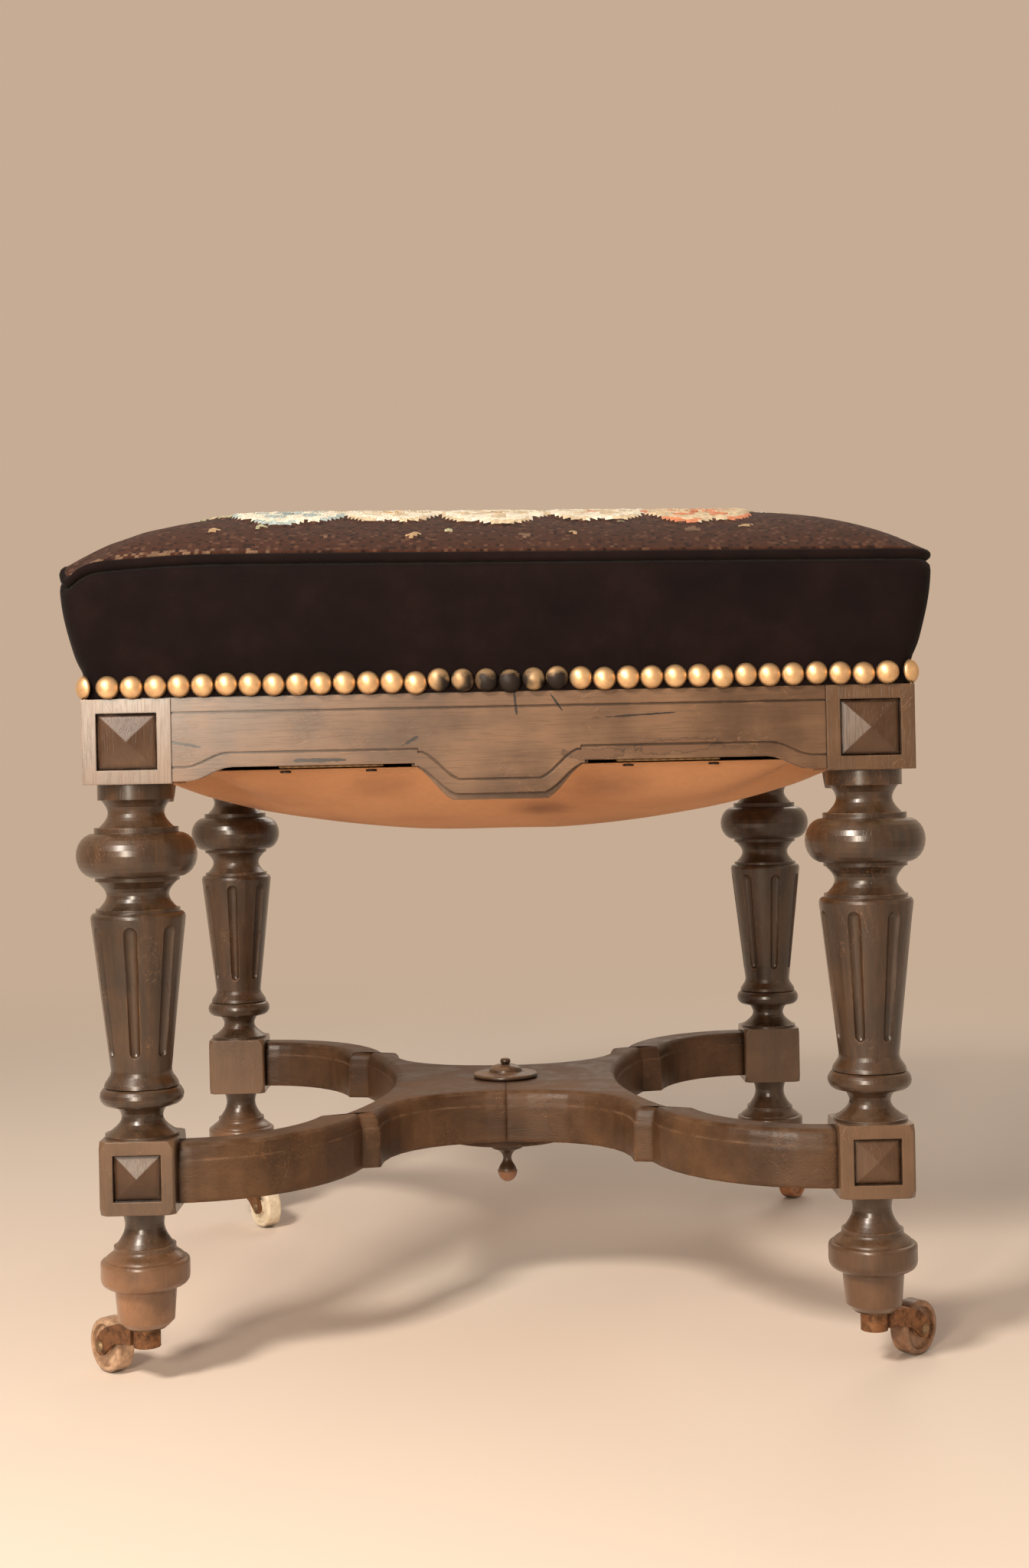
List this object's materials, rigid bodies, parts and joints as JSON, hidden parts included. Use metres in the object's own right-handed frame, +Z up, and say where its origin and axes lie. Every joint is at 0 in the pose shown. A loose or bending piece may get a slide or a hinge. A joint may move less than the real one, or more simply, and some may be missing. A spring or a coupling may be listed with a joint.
{
  "type": "upholstered wooden stool",
  "caption": "Square wooden stool with turned fluted legs, shaped rails, scrolled stretcher, domed sprung seat with dome nails and swivel casters.",
  "frame": {"origin": "on the floor under the middle of the stool", "axes": "+Z up, -Y towards the front, +X to the right as seen from the front"},
  "size_m": [0.4814, 0.4814, 0.4868],
  "materials": {
    "ebonised_wood": "worn black-brown stain under a dull polish",
    "frame_wood": "sawn beech",
    "worn_wood": "stain worn through to brown wood",
    "webbing": "coarse jute weave",
    "spring_steel": "drawn wire",
    "canvas": "plain hessian weave",
    "stuffing": "teased fibre",
    "needlework": "wool needlepoint on canvas",
    "velvet": "short pile, rubbed",
    "welt_cloth": "covered cord",
    "nail_brass": "tarnished brass",
    "calico": "plain cotton, stained",
    "tack_steel": "blued iron",
    "caster_steel": "dull iron",
    "caster_brass": "old brass",
    "wheel_brown": "dark turned wood",
    "wheel_white": "glazed, porcelain-like",
    "wheel_tan": "orange-brown turned wood"
  },
  "bodies": {
    "frame": {"leg_front_left": "ebonised_wood", "leg_front_right": "ebonised_wood", "leg_back_left": "ebonised_wood", "leg_back_right": "ebonised_wood", "rail_front": "frame_wood", "rail_back": "frame_wood", "rail_left": "frame_wood", "rail_right": "frame_wood", "fascia_front": "ebonised_wood", "fascia_back": "ebonised_wood", "fascia_left": "ebonised_wood", "fascia_right": "ebonised_wood", "corner_blocks": "frame_wood", "diamonds_upper": "ebonised_wood", "diamonds_lower": "ebonised_wood", "stretcher_left": "ebonised_wood", "stretcher_right": "ebonised_wood", "centre_boss": "ebonised_wood", "under_disc": "ebonised_wood", "drop_pendant": "worn_wood", "webbing": "webbing", "seat_springs": "spring_steel", "spring_canvas": "canvas", "stuffing": "stuffing", "tapestry_cover": "needlework", "velvet_band": "velvet", "welt": "welt_cloth", "dome_nails": "nail_brass", "bottom_cloth": "calico", "cloth_tacks": "tack_steel", "caster_plate_fl": "caster_steel", "caster_plate_fr": "caster_steel", "caster_plate_bl": "caster_steel", "caster_plate_br": "caster_steel"},
    "fork_fl": {"caster_fork_fl": "caster_brass", "caster_axle_fl": "caster_steel"},
    "wheel_fl": {"caster_wheel_fl": "wheel_brown"},
    "fork_fr": {"caster_fork_fr": "caster_brass", "caster_axle_fr": "caster_steel"},
    "wheel_fr": {"caster_wheel_fr": "wheel_brown"},
    "fork_bl": {"caster_fork_bl": "caster_brass", "caster_axle_bl": "caster_steel"},
    "wheel_bl": {"caster_wheel_bl": "wheel_white"},
    "fork_br": {"caster_fork_br": "caster_brass", "caster_axle_br": "caster_steel"},
    "wheel_br": {"caster_wheel_br": "wheel_tan"}
  },
  "joints": [
    {"name": "swivel_fl", "type": "hinge", "parent": "frame", "child": "fork_fl", "pos_m": [-0.201, -0.201, 0.026], "axis": [0, 0, 1], "continuous": true},
    {"name": "roll_fl", "type": "hinge", "parent": "fork_fl", "child": "wheel_fl", "pos_m": [-0.22555, -0.17467, 0.0153], "axis": [-0.7314, -0.682, 0], "continuous": true},
    {"name": "swivel_fr", "type": "hinge", "parent": "frame", "child": "fork_fr", "pos_m": [0.201, -0.201, 0.026], "axis": [0, 0, 1], "continuous": true},
    {"name": "roll_fr", "type": "hinge", "parent": "fork_fr", "child": "wheel_fr", "pos_m": [0.22775, -0.17691, 0.0153], "axis": [-0.6691, 0.7431, 0], "continuous": true},
    {"name": "swivel_bl", "type": "hinge", "parent": "frame", "child": "fork_bl", "pos_m": [-0.201, 0.201, 0.026], "axis": [0, 0, 1], "continuous": true},
    {"name": "roll_bl", "type": "hinge", "parent": "fork_bl", "child": "wheel_bl", "pos_m": [-0.18035, 0.17151, 0.0153], "axis": [0.8192, 0.5736, 0], "continuous": true},
    {"name": "swivel_br", "type": "hinge", "parent": "frame", "child": "fork_br", "pos_m": [0.201, 0.201, 0.026], "axis": [0, 0, 1], "continuous": true},
    {"name": "roll_br", "type": "hinge", "parent": "fork_br", "child": "wheel_br", "pos_m": [0.22165, 0.23049, 0.0153], "axis": [-0.8192, 0.5736, 0], "continuous": true}
  ]
}
